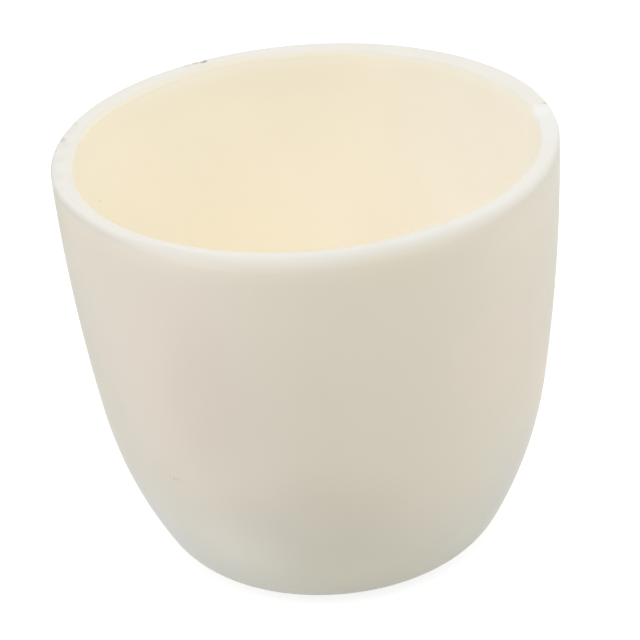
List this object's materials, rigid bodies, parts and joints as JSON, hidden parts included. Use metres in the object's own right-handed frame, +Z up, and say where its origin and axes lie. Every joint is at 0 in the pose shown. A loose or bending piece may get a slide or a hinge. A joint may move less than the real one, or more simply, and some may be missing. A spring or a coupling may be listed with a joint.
{
  "type": "ceramic crucible",
  "caption": "Small open ceramic crucible with a rounded belly, flat foot and plain flat rim, for heating or melting material in a furnace.",
  "frame": {"origin": "centre of the flat foot, on the surface that the crucible stands on", "axes": "+Z up along the axis of the cup, -Y towards the picture's viewer, +X to the picture's right"},
  "size_m": [0.065, 0.065, 0.0564],
  "materials": {
    "fired_ceramic": "matt, unglazed, cream white"
  },
  "bodies": {
    "root": {"crucible": "fired_ceramic"}
  },
  "joints": []
}
